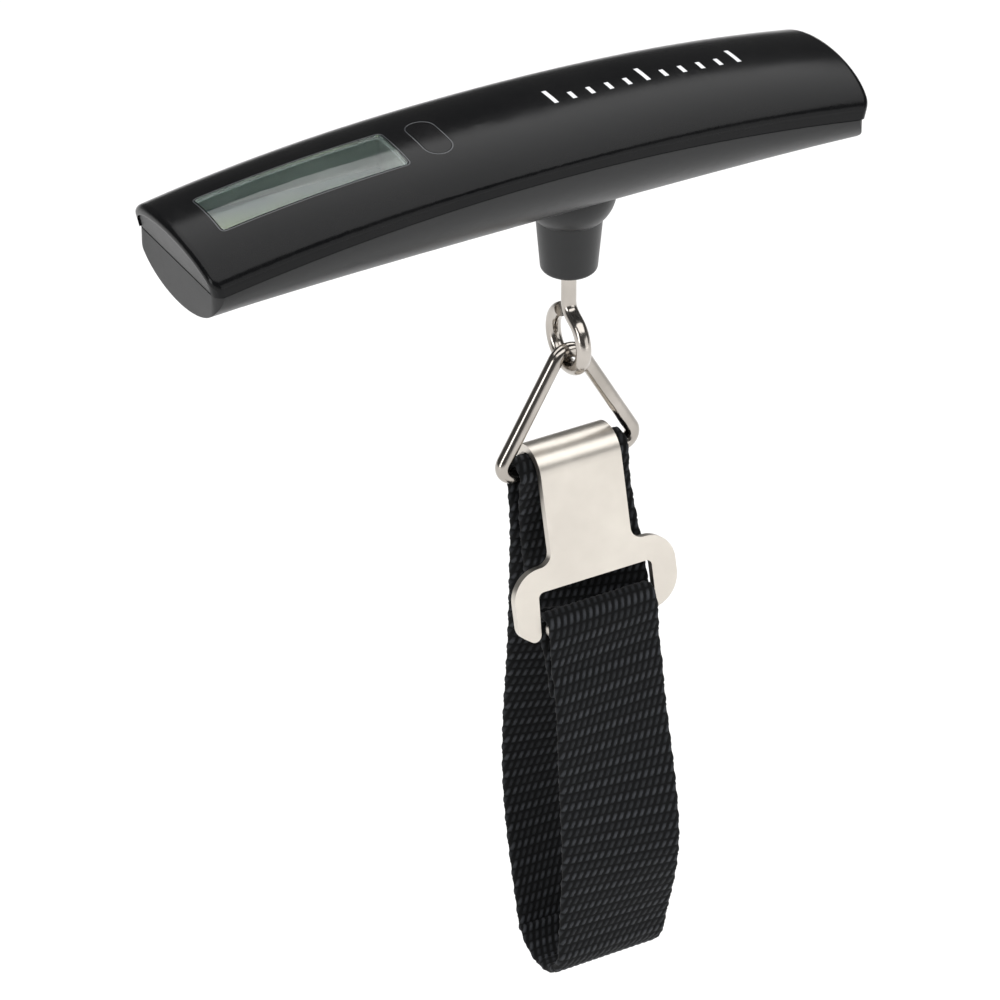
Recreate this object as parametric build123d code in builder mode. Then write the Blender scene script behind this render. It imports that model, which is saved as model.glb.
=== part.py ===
"""A T-handled digital luggage scale: a hand grip with a display, a load cell inside it, and below it
a wire eye, a triangular ring, a webbing strap and the sheet-steel hook that closes the strap.

Millimetres. +X runs along the grip towards its plain end, +Y away from the user, +Z up. The origin is
in the middle of the grip's thickness, on the axis of the eye's stem, so the load hangs along -Z.
"""

from math import acos, atan2, cos, degrees, radians, sin, tan
import os

from build123d import *

os.makedirs("parts", exist_ok=True)


def save(name, part):
    """Labels a finished piece and writes it as parts/NAME.step."""
    part.label = name
    export_step(part, f"parts/{name}.step")


# ---------------------------------------------------------------- driving dimensions

# The grip: its two ends at the seam, and how its seam, top, underside and half-width run along X.
GRIP_LEFT, GRIP_RIGHT = -83.2, 56.2
GRIP_MID = (GRIP_LEFT + GRIP_RIGHT) / 2
GRIP_HALF = (GRIP_RIGHT - GRIP_LEFT) / 2
SEAM_MID, SEAM_END = 4.4, -1.5
TOP_MID, TOP_END = 11.4, 6.8
UNDER_MID, UNDER_END = -10.6, -10.0
WIDE_MID, WIDE_END = 17.0, 16.6
STATIONS = [-92, -82, -66, -46, GRIP_MID, 20, 40, 55.6, 66]
WALL = 2.0
SEAM_GAP = 0.3
COVER_SIDE = 1.4            # straight side of the cover below its curved top
COVER_ROUND = 1.4          # rounding of the cover's end edges
COVER_LEAN = 13.0          # the cover's ends lean outwards, in degrees from upright
CORNER = 2.8                # rounding of the grip's corners, seen from above
SHELL_INSET = 0.3           # the bottom shell stands in this far under the cover

# Display window, button and the boards under them.
WINDOW_X, WINDOW_Y = -57.7, -1.6
WINDOW_LONG, WINDOW_WIDE, WINDOW_CORNER = 38.8, 12.0, 0.8
LENS_GAP = 0.15
FRAME_WALL, FRAME_LAP = 1.4, 0.5
LCD_LONG, LCD_WIDE, LCD_T = 37.2, 10.4, 1.1
BOARD_X0, BOARD_X1, BOARD_HALF, BOARD_TOP, BOARD_T = -77.6, -24.0, 9.5, 0.6, 1.2
BUTTON_X, BUTTON_Y = -31.0, -1.4
BUTTON_LONG, BUTTON_WIDE, BUTTON_FLANGE = 12.0, 5.4, 0.8
BUTTON_TRAVEL = 0.6
SLIDE_GAP = 0.08
LCD_TOP, BUTTON_LOW, BUTTON_SHELF = 4.2, 3.6, 7.4

# Load cell, its screws, and the two screws that close the grip.
CELL_HALF_LONG, CELL_HALF_WIDE, CELL_LOW, CELL_HIGH = 16.0, 6.0, -6.6, -0.6
CELL_SCREW_X, CELL_SCREW_R = 12.5, 1.4
CASE_SCREW_X = (-20.4, 23.4)
POST_R, PILOT_R, HEAD_R, HEAD_Z = 2.3, 1.05, 2.1, -7.6

# Battery drawer in the plain end, and its CR2032 cell.
COIN_X, COIN_R, COIN_T = 42.6, 10.0, 3.2
DRAWER_X0, DRAWER_HALF, DRAWER_LOW, DRAWER_FLOOR = 31.4, 10.8, -6.6, 0.7
DRAWER_TOP = DRAWER_LOW + DRAWER_FLOOR + COIN_T
DRAWER_TRAVEL = 23.0

# Load line: the boss, the wire eye, the ring, the strap and the hook.
BOSS_END = -26.5
BOSS_TIP_R, BOSS_ROOT_R, BOSS_FLARE, FLARE_TALL = 5.6, 6.5, 2.5, 6.8
BUSH_R, BUSH_LONG = 2.9, 6.0
WIRE_R = 1.5
STEM_TOP = 3.4
EYE_Z, EYE_R = -42.2, 5.9
EYE_START, EYE_END = 133.0, 62.0    # where the stem joins the circle and where the wire is cut, in degrees
LINK_R = 2 * WIRE_R + 0.3   # the ring's apex, bent round the eye's wire
RING_TOP = EYE_Z - EYE_R + LINK_R
BAR_Z = -69.7
BAR_HALF = 14.5             # half of the ring's bar, between its corner points
RING_CORNER = 2.4
WEB_HALF, WEB_T = 12.2, 1.9
LOOSE = 0.3                 # what is left between a wrapped part and what it wraps
WRAP_R = WIRE_R + LOOSE + WEB_T / 2
SEWN_Z = BAR_Z - 21.0
PLATE_T = 1.6
ROLL_R = WIRE_R + 2 * LOOSE + WEB_T + PLATE_T / 2
PLATE_LEAN = 14.4
NECK_HALF, ARM_HALF = 9.0, 18.1
SHOULDER, SLOT_TOP, BAR_TOP, BAR_END, HOOK_END = 18.0, 23.0, 30.0, 33.2, 34.0
SLOT_HALF = 12.7
LIP_ANGLE = 19.0            # where the roll's back lip ends, in degrees above the bar's level
FOLD_Y, FOLD_Z, FOLD_R = -10.5, -172.4, 8.6
FOLD_START, FOLD_TURN = -20, -163


def along(x, mid, end, power=2):
    """A dimension that is `mid` at the middle of the grip and `end` at its two ends."""
    return mid + (end - mid) * abs((x - GRIP_MID) / GRIP_HALF) ** power


def seam(x):
    return along(x, SEAM_MID, SEAM_END)


def top(x):
    return along(x, TOP_MID, TOP_END, 2.6)


def under(x):
    return along(x, UNDER_MID, UNDER_END)


def half_width(x):
    return along(x, WIDE_MID, WIDE_END)


# ---------------------------------------------------------------- helpers


def section(x, half, low, side, peak):
    """A section of the grip: flat at `low`, upright to `side`, then half an ellipse to `peak`."""
    start, turn = (0, 180) if peak > side else (180, 180)
    ends = [(half, side), (-half, side)] if peak > side else [(-half, side), (half, side)]
    with BuildSketch(Plane.YZ.offset(x), mode=Mode.PRIVATE) as profile:
        with BuildLine():
            Polyline(ends[1], (ends[1][0], low), (ends[0][0], low), ends[0])
            EllipticalCenterArc((0, side), half, abs(peak - side), start_angle=start, arc_size=turn)
        make_face()
    return profile.sketch


def cover_section(x, inset=0.0, down=0.0):
    """The cover's section at x, from a little above the seam to its curved top."""
    base = seam(x) + SEAM_GAP / 2
    return section(x, half_width(x) - inset, base - down, base + COVER_SIDE, top(x) - inset)


def shell_section(x, inset=0.0, up=0.0):
    """The bottom shell's section at x, from a little below the seam to its curved underside."""
    rim = seam(x) - SEAM_GAP / 2
    return section(x, half_width(x) - SHELL_INSET - inset, rim + up, rim - 0.2, under(x) + inset)


def lip_section(x, inset):
    """A band across the seam, for the lip that stands up inside the cover."""
    with BuildSketch(Plane.YZ.offset(x), mode=Mode.PRIVATE) as band:
        with Locations((0, seam(x) + 0.1)):
            Rectangle(2 * (half_width(x) - inset), 3.0)
    return band.sketch


def swept_along_grip(profile, *extra):
    """A solid lofted through one section at every station."""
    with BuildPart(mode=Mode.PRIVATE) as body:
        loft(sections=[profile(x, *extra) for x in STATIONS])
    return body.part


def block(x0, x1, y0, y1, z0, z1):
    """A plain block between two corners."""
    return Pos((x0 + x1) / 2, (y0 + y1) / 2, (z0 + z1) / 2) * Box(x1 - x0, y1 - y0, z1 - z0, mode=Mode.PRIVATE)


def post(x, y, z0, z1, radius):
    """An upright cylinder between two heights."""
    return Pos(x, y, (z0 + z1) / 2) * Cylinder(radius, z1 - z0, mode=Mode.PRIVATE)


def stadium(x, y, long, wide, z0, z1):
    """An upright prism with half-round ends, long across the grip."""
    with BuildPart(mode=Mode.PRIVATE) as prism:
        with BuildSketch(Plane.XY.offset(z0)):
            with Locations((x, y)):
                SlotOverall(long, wide, rotation=90)
        extrude(amount=z1 - z0)
    return prism.part


def window_prism(grow, z0, z1):
    """The display window's outline from above, grown outwards, as an upright prism."""
    with BuildPart(mode=Mode.PRIVATE) as prism:
        with BuildSketch(Plane.XY.offset(z0)):
            with Locations((WINDOW_X, WINDOW_Y)):
                RectangleRounded(WINDOW_LONG + 2 * grow, WINDOW_WIDE + 2 * grow, WINDOW_CORNER + max(grow, 0))
        extrude(amount=z1 - z0)
    return prism.part


def grip_ends(inset):
    """The grip's outline from above, as a solid: upright ends below the seam, leaning out above it."""
    with BuildPart(mode=Mode.PRIVATE) as ends:
        for z, rise in ((-40, 0), (SEAM_END, 0), (TOP_MID + 4, TOP_MID + 4 - SEAM_END)):
            lean = rise * tan(radians(COVER_LEAN)) - inset
            with BuildSketch(Plane.XY.offset(z)):
                with Locations((GRIP_MID, 0)):
                    RectangleRounded(2 * (GRIP_HALF + lean), 2 * (WIDE_MID - inset), CORNER)
        loft(ruled=True)
    return ends.part


# ---------------------------------------------------------------- the grip's two shells

cover_solid = swept_along_grip(cover_section)
cover_space = swept_along_grip(cover_section, WALL, 2)
shell_solid = swept_along_grip(shell_section)
shell_space = swept_along_grip(shell_section, WALL, 2)
ends_outer, ends_shell = grip_ends(0), grip_ends(SHELL_INSET)
X0, X1 = GRIP_LEFT + WALL + 0.6, GRIP_RIGHT - WALL - 0.6
CEILING = 30.0

cover_posts = Part() + [post(x, 0, -2.8, CEILING, POST_R) for x in CASE_SCREW_X]
cover_posts = cover_posts & (cover_solid + block(GRIP_LEFT, GRIP_RIGHT, -9, 9, -8, 5))

with BuildPart() as upper_cover:
    add(cover_solid)
    add(ends_outer, mode=Mode.INTERSECT)
    end_edges = upper_cover.edges().filter_by(
        lambda e: e.center().Z > seam(e.center().X) + 1.0
        and not GRIP_LEFT + 2.5 < e.center().X < GRIP_RIGHT - 2.5)
    fillet(end_edges, COVER_ROUND)
    add(cover_space, mode=Mode.SUBTRACT)
    add(cover_posts)
    for x in CASE_SCREW_X:
        add(post(x, 0, -4, 4, PILOT_R), mode=Mode.SUBTRACT)
    add(window_prism(0, -5, CEILING), mode=Mode.SUBTRACT)
    add(stadium(BUTTON_X, BUTTON_Y, BUTTON_LONG, BUTTON_WIDE, 2, CEILING), mode=Mode.SUBTRACT)

end_plugs = swept_along_grip(cover_section, WALL + 0.12, 3) & grip_ends(SHELL_INSET + 0.1)
end_plugs = end_plugs - block(X0, X1, -30, 30, -40, 40)
lip = swept_along_grip(lip_section, WALL + 0.12) & block(X0 - 0.2, X1 + 0.2, -30, 30, -40, 40)
lip = lip - swept_along_grip(lip_section, WALL + 1.0)
shell_posts = Part() + [post(x, 0, -14, -3.0, POST_R + 0.6) for x in CASE_SCREW_X]
shell_posts += [post(x, 0, -14, CELL_LOW, 3.0) for x in (-CELL_SCREW_X, CELL_SCREW_X)]
shell_posts += [post(x, y, -14, BOARD_TOP - BOARD_T, 1.7) for x in (-72, -29) for y in (-7, 7)]
shell_posts += block(DRAWER_X0 - 3.0, DRAWER_X0 - 1.2, -7, 7, -14, -1.5)
shell_posts = shell_posts & shell_solid

with BuildPart() as lower_shell:
    add(shell_solid)
    add(ends_shell, mode=Mode.INTERSECT)
    add(shell_space & block(X0, X1, -30, 30, -40, 40), mode=Mode.SUBTRACT)
    add(end_plugs)
    add(lip)
    add(shell_posts)
    with BuildSketch(Plane.XZ) as boss_half:
        with BuildLine():
            root, tip = BOSS_ROOT_R, BOSS_TIP_R
            flare = RadiusArc((root + BOSS_FLARE, -8.2), (root, -8.2 - FLARE_TALL), FLARE_TALL + 1.0)
            Line(flare @ 1, (tip, BOSS_END + 1.0))
            RadiusArc((tip, BOSS_END + 1.0), (tip - 1.0, BOSS_END), 1.0)
            Polyline((tip - 1.0, BOSS_END), (0, BOSS_END), (0, -8.2), (root + BOSS_FLARE, -8.2))
        make_face()
    revolve(axis=Axis.Z)
    add(post(0, 0, -30, 0, WIRE_R + 0.6), mode=Mode.SUBTRACT)
    add(post(0, 0, BOSS_END - 1, BOSS_END + BUSH_LONG, BUSH_R), mode=Mode.SUBTRACT)
    for x in CASE_SCREW_X:
        add(post(x, 0, -20, 0, PILOT_R + 0.15), mode=Mode.SUBTRACT)
        add(post(x, 0, -20, HEAD_Z, HEAD_R + 0.2), mode=Mode.SUBTRACT)
    for x in (-CELL_SCREW_X, CELL_SCREW_X):
        add(post(x, 0, -9.0, 0, CELL_SCREW_R + 0.05), mode=Mode.SUBTRACT)
    add(block(DRAWER_X0 - 0.5, 70, -DRAWER_HALF - SLIDE_GAP, DRAWER_HALF + SLIDE_GAP,
              DRAWER_LOW - SLIDE_GAP, DRAWER_TOP + SLIDE_GAP), mode=Mode.SUBTRACT)

save("upper_cover", upper_cover.part)
save("lower_shell", lower_shell.part)

# ---------------------------------------------------------------- display, board and button

with BuildPart() as window_lens:
    add(cover_solid - cover_space)
    add(window_prism(-LENS_GAP, -5, CEILING), mode=Mode.INTERSECT)

with BuildPart() as display_frame:
    add(cover_space)
    add(window_prism(FRAME_WALL, BOARD_TOP, CEILING), mode=Mode.INTERSECT)
    add(window_prism(-FRAME_LAP, -5, CEILING), mode=Mode.SUBTRACT)

with BuildPart() as lcd_glass:
    with Locations((WINDOW_X, WINDOW_Y, LCD_TOP - LCD_T / 2)):
        Box(LCD_LONG, LCD_WIDE, LCD_T)

with BuildPart() as lcd_reflector:
    with Locations((WINDOW_X, WINDOW_Y, LCD_TOP - LCD_T - 0.2)):
        Box(LCD_LONG - 1, 6.0, 0.4)

ZEBRA_TALL = LCD_TOP - LCD_T - BOARD_TOP
with BuildPart() as zebra_strips:
    with Locations((WINDOW_X, WINDOW_Y, BOARD_TOP + ZEBRA_TALL / 2)):
        with GridLocations(0, 8.4, 1, 2):
            Box(LCD_LONG - 3, 1.6, ZEBRA_TALL)

with BuildPart() as circuit_board:
    add(block(BOARD_X0, BOARD_X1, -BOARD_HALF, BOARD_HALF, BOARD_TOP - BOARD_T, BOARD_TOP))

BOARD_LOW = BOARD_TOP - BOARD_T
with BuildPart() as controller_chip:
    with Locations((-54, 0, BOARD_LOW - 0.6)):
        Box(9, 9, 1.2)
    fillet(controller_chip.edges().filter_by(Axis.Z), 0.4)

with BuildPart() as board_components:
    with Locations((-44, 0, BOARD_LOW - 0.35)):
        with GridLocations(3.2, 3.0, 3, 5):
            Box(1.8, 1.1, 0.7)

with BuildPart() as crystal:
    with Locations(Location((-36, 0, BOARD_LOW - 1.1), (90, 0, 0))):
        Cylinder(1.1, 6.2)

SWITCH_TOP = BUTTON_LOW - BUTTON_TRAVEL - 0.05
with BuildPart() as tact_switch:
    with Locations((BUTTON_X, BUTTON_Y, BOARD_TOP + 0.9)):
        Box(5.8, 5.8, 1.8)
    fillet(tact_switch.edges().filter_by(Axis.Z), 0.4)
    add(post(BUTTON_X, BUTTON_Y, BOARD_TOP + 1.8, SWITCH_TOP, 1.6))

button_skin = cover_solid & stadium(BUTTON_X, BUTTON_Y, BUTTON_LONG - 2 * SLIDE_GAP,
                                    BUTTON_WIDE - 2 * SLIDE_GAP, BUTTON_SHELF, CEILING)
with BuildPart() as power_button:
    add(button_skin)
    add(stadium(BUTTON_X, BUTTON_Y, BUTTON_LONG + 2 * BUTTON_FLANGE, BUTTON_WIDE + 2 * BUTTON_FLANGE,
                BUTTON_SHELF, BUTTON_SHELF + 0.8))
    add(post(BUTTON_X, BUTTON_Y, BUTTON_LOW, BUTTON_SHELF + 0.2, 1.5))

for label, piece in (("window_lens", window_lens), ("display_frame", display_frame),
                     ("lcd_glass", lcd_glass), ("lcd_reflector", lcd_reflector),
                     ("zebra_strips", zebra_strips), ("circuit_board", circuit_board),
                     ("controller_chip", controller_chip), ("board_components", board_components),
                     ("crystal", crystal), ("tact_switch", tact_switch), ("power_button", power_button)):
    save(label, piece.part)

# ---------------------------------------------------------------- load cell, screws and leads

CELL_MID = (CELL_LOW + CELL_HIGH) / 2
with BuildPart() as load_cell:
    add(block(-CELL_HALF_LONG, CELL_HALF_LONG, -CELL_HALF_WIDE, CELL_HALF_WIDE, CELL_LOW, CELL_HIGH))
    for x in (-6.2, 6.2):
        with Locations(Location((x, 0, CELL_MID), (90, 0, 0))):
            Cylinder(2.1, 30, mode=Mode.SUBTRACT)
    add(post(0, 0, -20, 20, WIRE_R + SLIDE_GAP), mode=Mode.SUBTRACT)
    for x in (-CELL_SCREW_X, CELL_SCREW_X):
        add(post(x, 0, -20, 20, CELL_SCREW_R + 0.1), mode=Mode.SUBTRACT)

with BuildPart() as strain_gauges:
    for x in (-6.2, 6.2):
        add(block(x - 2.4, x + 2.4, -3.2, 3.2, CELL_HIGH, CELL_HIGH + 0.6))


def screw(x, tip, seat, head, shank_r, head_r):
    """A pan-head screw standing on its tip: shank, head and a cross recess, head at the `head` end."""
    lift = 0.8 if head > seat else -0.8
    body = post(x, 0, min(tip, seat), max(tip, seat), shank_r)
    body = body + post(x, 0, min(seat, head), max(seat, head), head_r)
    low, high = min(head, head - lift), max(head, head - lift)
    body = body - block(x - 1.2, x + 1.2, -0.25, 0.25, low, high)
    return body - block(x - 0.25, x + 0.25, -1.2, 1.2, low, high)


with BuildPart() as load_cell_screws:
    for x in (-CELL_SCREW_X, CELL_SCREW_X):
        add(screw(x, -8.8, CELL_HIGH, CELL_HIGH + 1.7, CELL_SCREW_R, 2.6))

with BuildPart() as case_screws:
    for x in CASE_SCREW_X:
        add(screw(x, 3.4, HEAD_Z, HEAD_Z - 1.7, PILOT_R - 0.03, HEAD_R))

with BuildPart() as boss_bush:
    add(post(0, 0, BOSS_END, BOSS_END + BUSH_LONG - 0.1, BUSH_R - 0.02))
    add(post(0, 0, -40, 0, WIRE_R + SLIDE_GAP), mode=Mode.SUBTRACT)


def lead(points, radius=0.35):
    """An insulated lead bent through the given points."""
    with BuildPart(mode=Mode.PRIVATE) as wire:
        with BuildLine(mode=Mode.PRIVATE) as run:
            Spline(*points)
        with BuildSketch(Plane(origin=run.line @ 0, z_dir=run.line % 0)):
            Circle(radius)
        sweep(path=run.line)
    return wire.part


with BuildPart() as gauge_leads:
    for y in (-2.4, -0.8, 0.8, 2.4):
        aside = 4.0 if y > 0 else -4.0
        add(lead([(-8.9, y, 0.1), (-13.5, y + aside, 1.5), (-20, y + aside, 2.4),
                  (-25.4, y + 0.8 * aside, BOARD_TOP + 0.5)]))

with BuildPart() as battery_leads:
    for y in (-1, 1):
        add(lead([(29.4, 3.5 * y, -1.0), (24.0, 7.0 * y, -0.6), (12, 9.6 * y, -1.8), (-6, 9.8 * y, -2.0),
                  (-18, 9.0 * y, 1.4), (-25.6, 8.2 * y, BOARD_TOP + 0.6)], 0.45))

for label, piece in (("load_cell", load_cell), ("strain_gauges", strain_gauges),
                     ("load_cell_screws", load_cell_screws), ("case_screws", case_screws),
                     ("boss_bush", boss_bush), ("gauge_leads", gauge_leads),
                     ("battery_leads", battery_leads)):
    save(label, piece.part)

# ---------------------------------------------------------------- battery drawer

COIN_LOW = DRAWER_LOW + DRAWER_FLOOR
with BuildPart() as battery_drawer:
    add(block(DRAWER_X0, GRIP_RIGHT - SHELL_INSET, -DRAWER_HALF, DRAWER_HALF, DRAWER_LOW, DRAWER_TOP))
    add(post(COIN_X, 0, COIN_LOW, 10, COIN_R + 0.2), mode=Mode.SUBTRACT)
    add(block(DRAWER_X0 - 1, COIN_X + 3, -3.6, 0.1, -20, 10), mode=Mode.SUBTRACT)
    add(block(GRIP_RIGHT - 1.0, 70, -5, 5, DRAWER_TOP - 1.0, 10), mode=Mode.SUBTRACT)

with BuildPart() as coin_cell:
    add(post(COIN_X, 0, COIN_LOW, COIN_LOW + 0.6, COIN_R - 0.7))
    add(post(COIN_X, 0, COIN_LOW + 0.6, COIN_LOW + COIN_T, COIN_R))
    fillet(coin_cell.edges().filter_by(GeomType.CIRCLE).sort_by(Axis.Z)[-1], 0.4)

LEAF_T = 0.3
LEAF_X0, LEAF_X1 = DRAWER_X0 - 1.2, COIN_X + 2
with BuildPart() as battery_contact_pos:
    add(block(LEAF_X0, LEAF_X1, 0.7, 4.7, DRAWER_TOP + 0.1, DRAWER_TOP + 0.1 + LEAF_T))
    add(block(LEAF_X0, LEAF_X0 + LEAF_T, 0.7, 4.7, -6.0, DRAWER_TOP + 0.1))

with BuildPart() as battery_contact_neg:
    add(block(LEAF_X0, LEAF_X1, -3.1, -0.4, COIN_LOW - 0.1 - LEAF_T, COIN_LOW - 0.1))
    add(block(LEAF_X0, LEAF_X0 + LEAF_T, -3.1, -0.4, COIN_LOW - 0.1, -1.6))

for label, piece in (("battery_drawer", battery_drawer), ("coin_cell", coin_cell),
                     ("battery_contact_pos", battery_contact_pos),
                     ("battery_contact_neg", battery_contact_neg)):
    save(label, piece.part)

# ---------------------------------------------------------------- wire eye, nut and washer


def on_circle(across, up, radius, angle):
    """A point of an upright circle, as (across, up)."""
    return across + radius * cos(radians(angle)), up + radius * sin(radians(angle))


with BuildPart() as wire_eye:
    with BuildLine(Plane.YZ) as eye_path:
        meet = on_circle(0, EYE_Z, EYE_R, EYE_START)
        Line((0, STEM_TOP), (0, meet[1] + 4.2))
        heading = (-sin(radians(EYE_START)), cos(radians(EYE_START)))
        Spline((0, meet[1] + 4.2), meet, tangents=[(0, -1), heading])
        CenterArc((0, EYE_Z), EYE_R, EYE_START, 360 + EYE_END - EYE_START)
    with BuildSketch(Plane.XY.offset(STEM_TOP)):
        Circle(WIRE_R)
    sweep(path=eye_path.line)

WASHER_LOW, WASHER_T, NUT_T = CELL_HIGH + 0.05, 0.8, 2.3
with BuildPart() as stem_washer:
    with BuildSketch(Plane.XY.offset(WASHER_LOW)):
        Circle(3.3)
        Circle(WIRE_R + 0.02, mode=Mode.SUBTRACT)
    extrude(amount=WASHER_T)

with BuildPart() as stem_nut:
    with BuildSketch(Plane.XY.offset(WASHER_LOW + WASHER_T)):
        RegularPolygon(2.75, 6, major_radius=False)
        Circle(WIRE_R + 0.02, mode=Mode.SUBTRACT)
    extrude(amount=NUT_T)

# ---------------------------------------------------------------- triangle ring

LINK_Z = EYE_Z - EYE_R
CORNER_X, CORNER_Z = BAR_HALF - RING_CORNER, BAR_Z + RING_CORNER
reach = (CORNER_X ** 2 + (CORNER_Z - LINK_Z) ** 2) ** 0.5
side_angle = degrees(atan2(CORNER_Z - LINK_Z, CORNER_X)) + degrees(acos((LINK_R - RING_CORNER) / reach))

with BuildPart() as triangle_ring:
    with BuildLine(Plane.XZ) as ring_path:
        CenterArc((0, LINK_Z), LINK_R, side_angle, 180 - 2 * side_angle)
        CenterArc((CORNER_X, CORNER_Z), RING_CORNER, -90, 90 + side_angle)
        CenterArc((-CORNER_X, CORNER_Z), RING_CORNER, 180 - side_angle, 90 + side_angle)
        for side in (1, -1):
            high = on_circle(0, LINK_Z, LINK_R, side_angle)
            low = on_circle(CORNER_X, CORNER_Z, RING_CORNER, side_angle)
            Line((side * high[0], high[1]), (side * low[0], low[1]))
        Line((-CORNER_X, BAR_Z), (CORNER_X, BAR_Z))
    with BuildSketch(Plane.YZ):
        with Locations((0, BAR_Z)):
            Circle(WIRE_R)
    sweep(path=ring_path.wires()[0])

# ---------------------------------------------------------------- hook plate

lean = radians(PLATE_LEAN)
FACE = Vector(0, -cos(lean), sin(lean))
DOWN = Vector(0, -sin(lean), -cos(lean))
BAR = Vector(0, 0, BAR_Z)


def plate_point(out, down):
    """A point of the plate's side view as (y, z): `out` from the bar towards the user, `down` along it."""
    spot = BAR + FACE * out + DOWN * down
    return spot.Y, spot.Z


plate_plane = Plane(origin=BAR + FACE * (ROLL_R - PLATE_T / 2), x_dir=(1, 0, 0), z_dir=FACE)
with BuildPart() as hook_plate:
    with BuildSketch(plate_plane):
        with BuildLine():
            Polyline((NECK_HALF, 0), (NECK_HALF, -SHOULDER), (ARM_HALF, -SHOULDER),
                     (ARM_HALF, -BAR_END), (-11.4, -BAR_END), (-11.4, -BAR_TOP),
                     (SLOT_HALF, -BAR_TOP), (SLOT_HALF, -SLOT_TOP), (-SLOT_HALF, -SLOT_TOP),
                     (-SLOT_HALF - 0.7, -HOOK_END), (-ARM_HALF, -HOOK_END + 3.5),
                     (-ARM_HALF, -SHOULDER), (-NECK_HALF, -SHOULDER), (-NECK_HALF, 0), close=True)
        make_face()
    extrude(amount=PLATE_T)

    def corners(x, down, radius):
        """Rounds the through-thickness edge nearest to a point of the outline."""
        spot = plate_plane.from_local_coords((x, -down, PLATE_T / 2))
        fillet(hook_plate.edges().filter_by(lambda e: abs(e.length - PLATE_T) < 1e-3
                                            and (e.center() - spot).length < 0.2), radius)

    for side in (-1, 1):
        corners(side * NECK_HALF, SHOULDER, 2.6)
        corners(side * ARM_HALF, SHOULDER, 6.2)
    corners(ARM_HALF, BAR_END, 6.5)
    corners(SLOT_HALF, BAR_TOP, 1.0)
    for side in (-1, 1):
        corners(side * SLOT_HALF, SLOT_TOP, 1.2)
    corners(-ARM_HALF, HOOK_END - 3.5, 3.0)
    corners(-SLOT_HALF - 0.7, HOOK_END, 1.4)
    corners(-11.4, BAR_END, 1.2)
    corners(-11.4, BAR_TOP, 1.2)
    with BuildSketch(Plane.YZ.offset(-NECK_HALF)):
        with Locations((0, BAR_Z)):
            Circle(ROLL_R + PLATE_T / 2)
            Circle(ROLL_R - PLATE_T / 2, mode=Mode.SUBTRACT)
        with BuildLine():
            far = 20.0
            Polyline((0, BAR_Z), (-far * cos(lean), BAR_Z + far * sin(lean)), (-far, BAR_Z + far),
                     (far, BAR_Z + far), (far, BAR_Z + far * tan(radians(LIP_ANGLE))), close=True)
        make_face(mode=Mode.INTERSECT)
    extrude(amount=2 * NECK_HALF)

# ---------------------------------------------------------------- webbing strap


def bend(centre, radius, start, size=-180):
    """A run of webbing bent clockwise round a centre; gives its edge `shift` away from the middle."""
    return lambda shift: CenterArc(centre, radius + shift, start, size)


def run_through(points, start, end):
    """A run of webbing through side-view points with given end headings."""
    def edge(shift):
        middle = Spline(*points, tangents=[start, end], mode=Mode.PRIVATE)
        spots = []
        for step in range(SAMPLES + 1):
            spot, heading = middle @ (step / SAMPLES), middle % (step / SAMPLES)
            spots.append((spot.X - heading.Y * shift, spot.Y + heading.X * shift))
        return Spline(*spots, tangents=[start, end])
    return edge


def clockwise(angle):
    """The heading of something going clockwise past an angle of a circle, in degrees."""
    return sin(radians(angle)), -cos(radians(angle))


def webbing(half, runs):
    """Flat webbing of one thickness that follows runs joined end to end, seen from the side."""
    with BuildPart() as band:
        with BuildSketch(Plane.YZ.offset(-half)):
            with BuildLine():
                outer = [run(WEB_T / 2) for run in runs]
                inner = [run(-WEB_T / 2) for run in runs]
                Line(outer[0] @ 0, inner[0] @ 0)
                Line(outer[-1] @ 1, inner[-1] @ 1)
            make_face()
        extrude(amount=2 * half)
    return band.part


SAMPLES = 16
SPLIT = 44.6
UP, ALONG, BACK = (0, 1), (-DOWN.Y, -DOWN.Z), (DOWN.Y, DOWN.Z)
fold_from = on_circle(FOLD_Y, FOLD_Z, FOLD_R, FOLD_START)
fold_to = on_circle(FOLD_Y, FOLD_Z, FOLD_R, FOLD_START + FOLD_TURN)
strap = webbing(WEB_HALF, [
    run_through([(-0.75, SEWN_Z), (-0.9, BAR_Z - 12), (-WRAP_R, BAR_Z)], UP, UP),
    bend((0, BAR_Z), WRAP_R, 180),
    run_through([(WRAP_R, BAR_Z), (1.9, BAR_Z - 12), (1.9, SEWN_Z), (3.5, -110), (4.9, -132),
                 (3.7, -151), fold_from], (0, -1), clockwise(FOLD_START)),
    bend((FOLD_Y, FOLD_Z), FOLD_R, FOLD_START, FOLD_TURN),
    run_through([fold_to, (-21.6, -151), (-19.3, -134),
                 plate_point(ROLL_R + 1.2, SPLIT + LOOSE)],
                clockwise(FOLD_START + FOLD_TURN), ALONG)])

LOOP_R = PLATE_T / 2 + LOOSE + WEB_T / 2
FRONT, REAR = ROLL_R + LOOP_R, ROLL_R - LOOP_R
strap_end_loop = webbing(WEB_HALF, [
    run_through([plate_point(ROLL_R + 1.2, SPLIT), plate_point(ROLL_R + 1.35, 37.5),
                 plate_point(FRONT, BAR_TOP + 3.6), plate_point(FRONT, BAR_TOP + 0.4)], ALONG, ALONG),
    bend(plate_point(ROLL_R, BAR_TOP + 0.4), LOOP_R, 180 - PLATE_LEAN),
    run_through([plate_point(REAR, BAR_TOP + 0.4), plate_point(REAR, BAR_TOP + 3.6),
                 plate_point(ROLL_R - 1.35, 37.5), plate_point(ROLL_R - 1.2, 43.7)], BACK, BACK)])

for label, piece in (("wire_eye", wire_eye), ("stem_washer", stem_washer), ("stem_nut", stem_nut),
                     ("triangle_ring", triangle_ring), ("hook_plate", hook_plate)):
    save(label, piece.part)
save("strap", strap)
save("strap_end_loop", strap_end_loop)
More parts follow.
